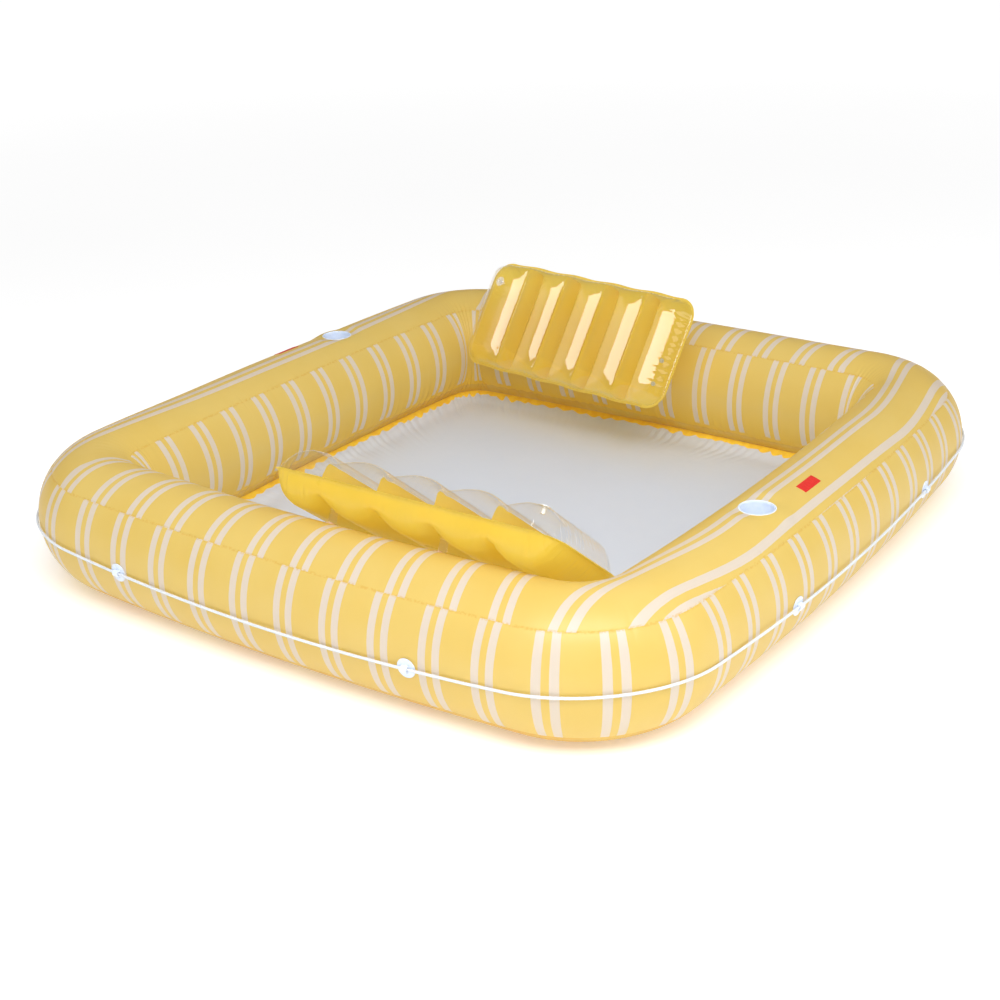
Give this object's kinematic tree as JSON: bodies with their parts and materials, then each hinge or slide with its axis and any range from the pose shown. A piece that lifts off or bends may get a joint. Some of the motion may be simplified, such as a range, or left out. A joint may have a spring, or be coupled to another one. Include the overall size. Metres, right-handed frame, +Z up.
{
  "type": "inflatable pool float",
  "caption": "Square inflatable pool float: a striped air-tube ring round a sunken floor sheet, with ribbed reclining pillows, cup wells, a grab rope and a screw valve.",
  "frame": {"origin": "on the ground under the middle of the ring", "axes": "+Z up; -Y is the front side of the ring, where the front pillow leans; +X is the right side, with a cup well nearer the front"},
  "size_m": [1.9712, 2.062, 0.4852],
  "materials": {
    "striped_vinyl": "satin",
    "yellow_vinyl": "gloss",
    "clear_vinyl": "gloss",
    "floor_vinyl": "satin",
    "milky_vinyl": "satin",
    "valve_plastic": "satin",
    "snap_plastic": "gloss",
    "label": "matte",
    "rope": "matte"
  },
  "bodies": {
    "ring": {"back_snap_studs": "snap_plastic", "cup_well_left": "milky_vinyl", "cup_well_right": "milky_vinyl", "floor_sheet": "floor_vinyl", "front_snap_studs": "snap_plastic", "grab_rope": "rope", "label_left": "label", "label_right": "label", "main_valve_base": "valve_plastic", "ring_bottom_panel": "striped_vinyl", "ring_inner_wall": "striped_vinyl", "ring_outer_wall": "striped_vinyl", "ring_top_panel": "striped_vinyl", "rope_holder_back_1": "milky_vinyl", "rope_holder_back_2": "milky_vinyl", "rope_holder_front_1": "milky_vinyl", "rope_holder_front_2": "milky_vinyl", "rope_holder_left_1": "milky_vinyl", "rope_holder_left_2": "milky_vinyl", "rope_holder_right_1": "milky_vinyl", "rope_holder_right_2": "milky_vinyl"},
    "main_valve_tether": {"main_valve_tether": "valve_plastic"},
    "main_valve_cap": {"main_valve_cap": "valve_plastic"},
    "main_valve_flap": {"main_valve_flap": "valve_plastic"},
    "front_pillow": {"front_pillow_clear_film": "clear_vinyl", "front_pillow_back_film": "yellow_vinyl", "front_pillow_ribs": "yellow_vinyl", "front_pillow_valve": "clear_vinyl", "front_pillow_end_snaps": "snap_plastic", "front_pillow_tabs": "milky_vinyl"},
    "front_pillow_plug": {"front_pillow_plug": "clear_vinyl"},
    "back_pillow": {"back_pillow_clear_film": "clear_vinyl", "back_pillow_back_film": "yellow_vinyl", "back_pillow_ribs": "yellow_vinyl", "back_pillow_valve": "clear_vinyl", "back_pillow_end_snaps": "snap_plastic", "back_pillow_tabs": "milky_vinyl"},
    "back_pillow_plug": {"back_pillow_plug": "clear_vinyl"}
  },
  "joints": [
    {"name": "front_pillow_recline", "type": "hinge", "parent": "ring", "child": "front_pillow", "pos_m": [0, -0.79465, 0.32167], "axis": [1, 0, 0], "range_deg": [0, 25]},
    {"name": "front_pillow_plug_pull", "type": "slide", "parent": "front_pillow", "child": "front_pillow_plug", "axis": [-0.0011, 0.6293, 0.7771], "range_m": [0, 0.014]},
    {"name": "back_pillow_recline", "type": "hinge", "parent": "ring", "child": "back_pillow", "pos_m": [0, 0.79551, 0.32167], "axis": [-1, 0, 0], "range_deg": [0, 38]},
    {"name": "back_pillow_plug_pull", "type": "slide", "parent": "back_pillow", "child": "back_pillow_plug", "axis": [-0.1505, -0.8202, 0.5519], "range_m": [0, 0.014]},
    {"name": "main_valve_lift", "type": "slide", "parent": "ring", "child": "main_valve_tether", "axis": [0, 0.9121, 0.41], "range_m": [0, 0.006]},
    {"name": "main_valve_unscrew", "type": "hinge", "parent": "main_valve_tether", "child": "main_valve_cap", "pos_m": [0, 1.00543, 0.2433], "axis": [0, 0.9121, 0.41], "range_deg": [0, 540]},
    {"name": "main_valve_flap_open", "type": "hinge", "parent": "ring", "child": "main_valve_flap", "pos_m": [0, 0.9809, 0.24872], "axis": [-1, 0, 0], "range_deg": [0, 60], "stiffness_Nm_per_rad": 0.002, "springref_deg": -17.19}
  ],
  "couplings": [
    {"joint": "main_valve_lift", "follows": "main_valve_unscrew", "m_per_rad": 0.00063662}
  ]
}
